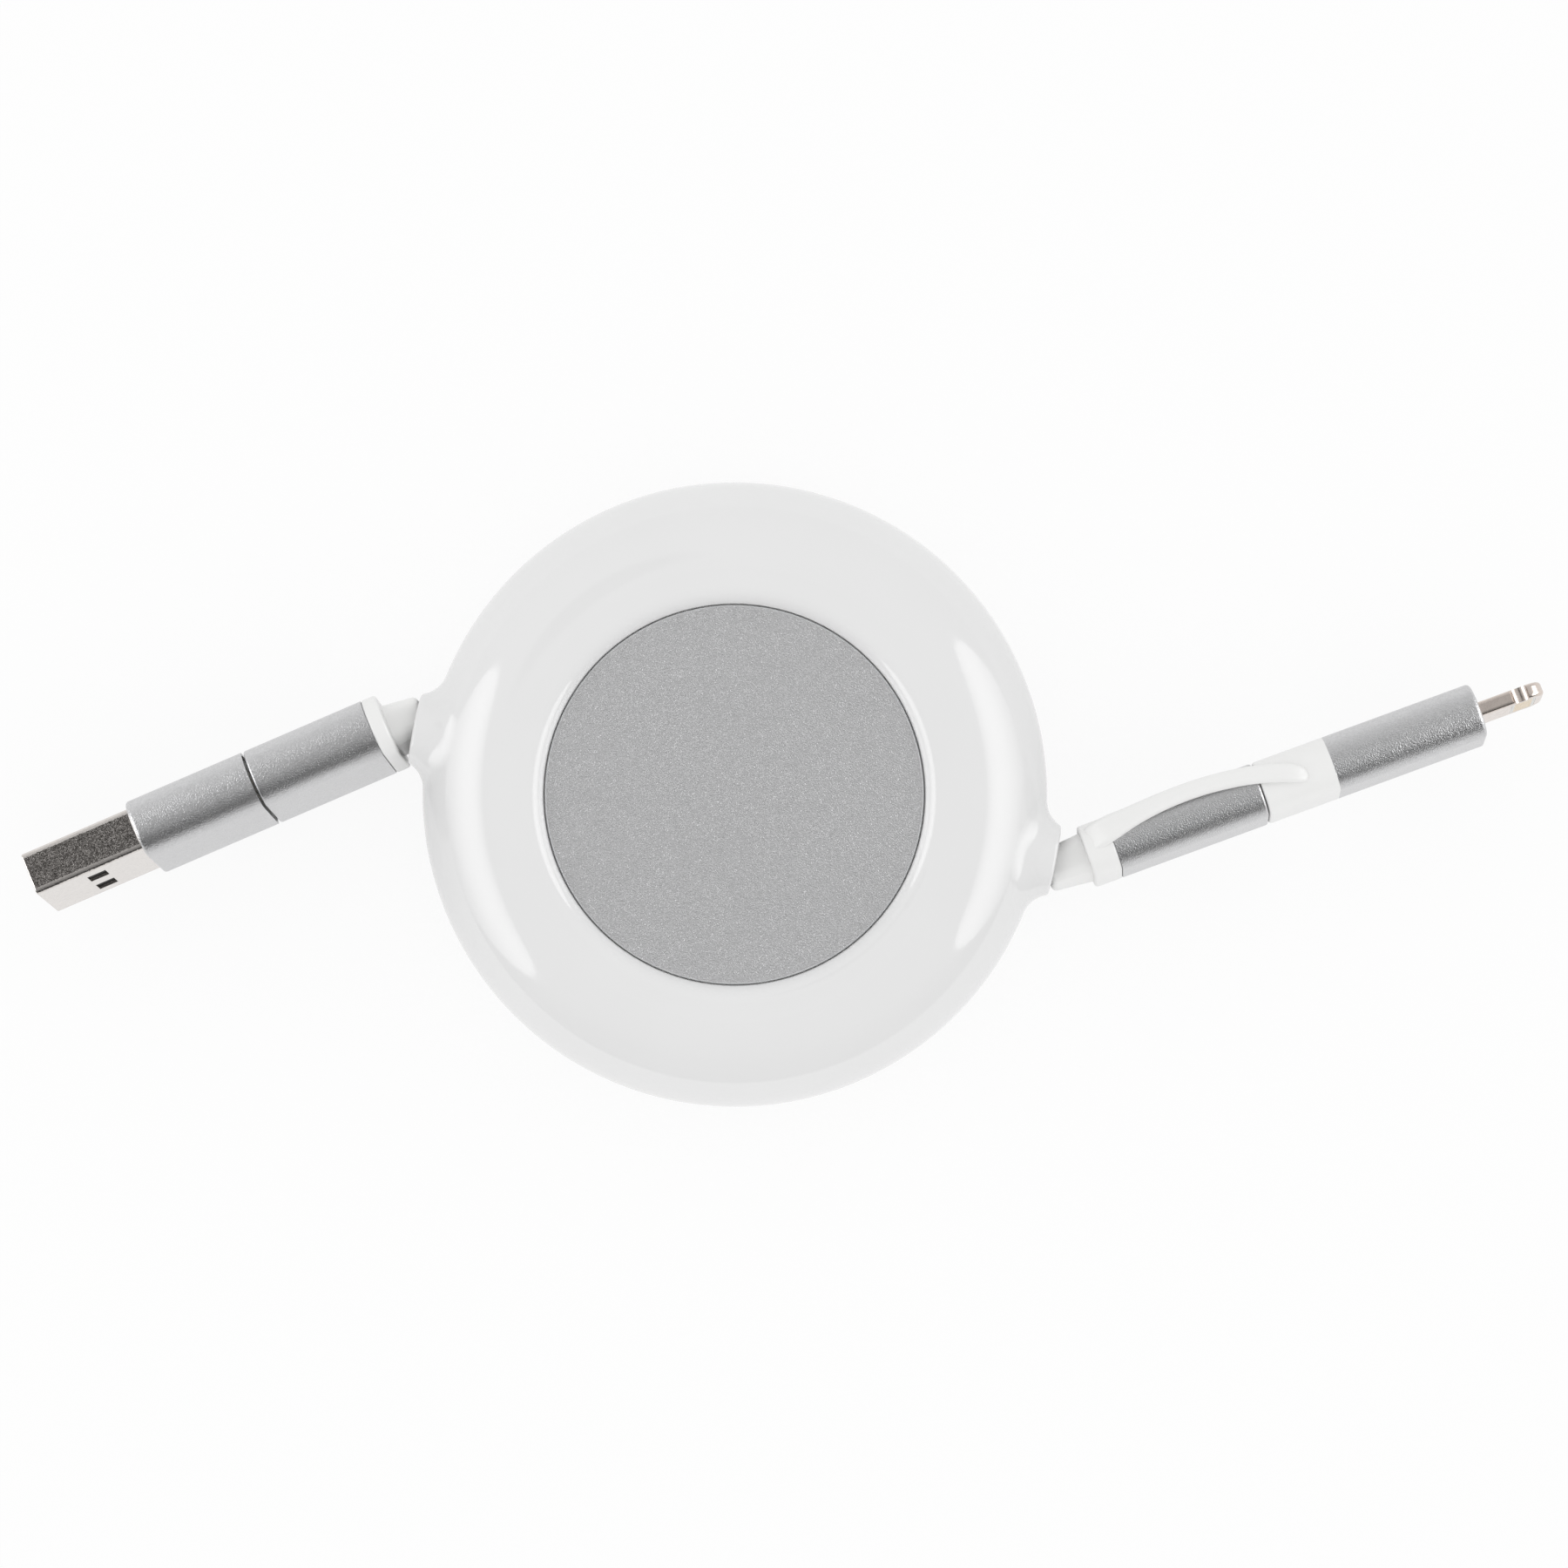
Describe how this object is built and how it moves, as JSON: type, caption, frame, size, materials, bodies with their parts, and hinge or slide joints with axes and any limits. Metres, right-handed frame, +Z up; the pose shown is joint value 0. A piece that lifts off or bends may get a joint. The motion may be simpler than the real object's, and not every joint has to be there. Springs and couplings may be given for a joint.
{
  "type": "retractable charging cable",
  "caption": "Round glossy white puck with a satin silver disc, holding flat cable on a sprung reel; pull-out ends carry a wide flat plug and a thin phone plug as push-on adapters.",
  "frame": {"origin": "centre of the flat base, on the reel's axis", "axes": "+Z up out of the disc, +X out through the phone end's snout"},
  "size_m": [0.1486, 0.064, 0.018],
  "materials": {
    "shell_white": "gloss",
    "plate_satin": "satin",
    "adhesive": "matte",
    "screw_steel": "satin",
    "ball_steel": "polished",
    "reel_plastic": "matte",
    "spring_steel": "satin",
    "cable_white": "satin",
    "boot_white": "satin",
    "sleeve_satin": "satin",
    "core_white": "satin",
    "plug_steel": "polished",
    "liner_black": "satin",
    "contact_gold": "polished",
    "blade_steel": "polished",
    "insulator_white": "satin",
    "strap_white": "satin"
  },
  "bodies": {
    "housing": {"upper_shell": "shell_white", "lower_shell": "shell_white", "face_plate": "plate_satin", "plate_adhesive": "adhesive", "centre_screw": "screw_steel", "ratchet_ball": "ball_steel"},
    "reel": {"reel_drum": "reel_plastic", "reel_cover": "reel_plastic", "mainspring": "spring_steel", "cable_coil": "cable_white"},
    "host_plug": {"host_cable_lead": "cable_white", "host_boot": "boot_white", "host_sleeve": "sleeve_satin", "host_core": "core_white", "host_plug_shell": "plug_steel", "host_plug_liner": "liner_black", "host_plug_contacts": "contact_gold"},
    "host_adapter": {"host_adapter_sleeve": "sleeve_satin", "host_adapter_core": "core_white", "host_socket_shell": "plug_steel", "host_socket_tongue": "liner_black", "host_socket_contacts": "contact_gold", "type_a_shell": "plug_steel", "type_a_tongue": "liner_black", "type_a_contacts": "contact_gold"},
    "phone_plug": {"phone_cable_lead": "cable_white", "phone_boot": "boot_white", "phone_sleeve": "sleeve_satin", "phone_core": "core_white", "phone_plug_shell": "plug_steel", "phone_plug_liner": "liner_black", "phone_plug_contacts": "contact_gold", "tether_strap": "strap_white"},
    "phone_adapter": {"adapter_socket": "boot_white", "adapter_sleeve": "sleeve_satin", "adapter_socket_shell": "plug_steel", "adapter_socket_tongue": "liner_black", "adapter_socket_contacts": "contact_gold", "blade_frame": "blade_steel", "blade_insulator": "insulator_white", "blade_contacts": "contact_gold"}
  },
  "joints": [
    {"name": "reel_spin", "type": "hinge", "parent": "housing", "child": "reel", "pos_m": [0, 0, 0.009], "axis": [0, 0, -1], "range_deg": [0, 1426], "stiffness_Nm_per_rad": 0.0004, "springref_deg": -687.55, "deforming": ["mainspring", "cable_coil"]},
    {"name": "host_pull", "type": "slide", "parent": "housing", "child": "host_plug", "axis": [-0.8161, -0.5779, 0], "range_m": [0, 0.45], "deforming": ["host_cable_lead"]},
    {"name": "phone_pull", "type": "slide", "parent": "housing", "child": "phone_plug", "axis": [0.8471, 0.5314, 0], "range_m": [0, 0.45], "deforming": ["phone_cable_lead"]},
    {"name": "host_adapter_pull", "type": "slide", "parent": "host_plug", "child": "host_adapter", "axis": [-0.8161, -0.5779, 0], "range_m": [0, 0.012]},
    {"name": "phone_adapter_pull", "type": "slide", "parent": "phone_plug", "child": "phone_adapter", "axis": [0.8471, 0.5314, 0], "range_m": [0, 0.0075], "deforming": ["tether_strap"]}
  ],
  "couplings": [
    {"joint": "host_pull", "follows": "reel_spin", "m_per_rad": 0.01808},
    {"joint": "phone_pull", "follows": "reel_spin", "m_per_rad": 0.01808}
  ]
}
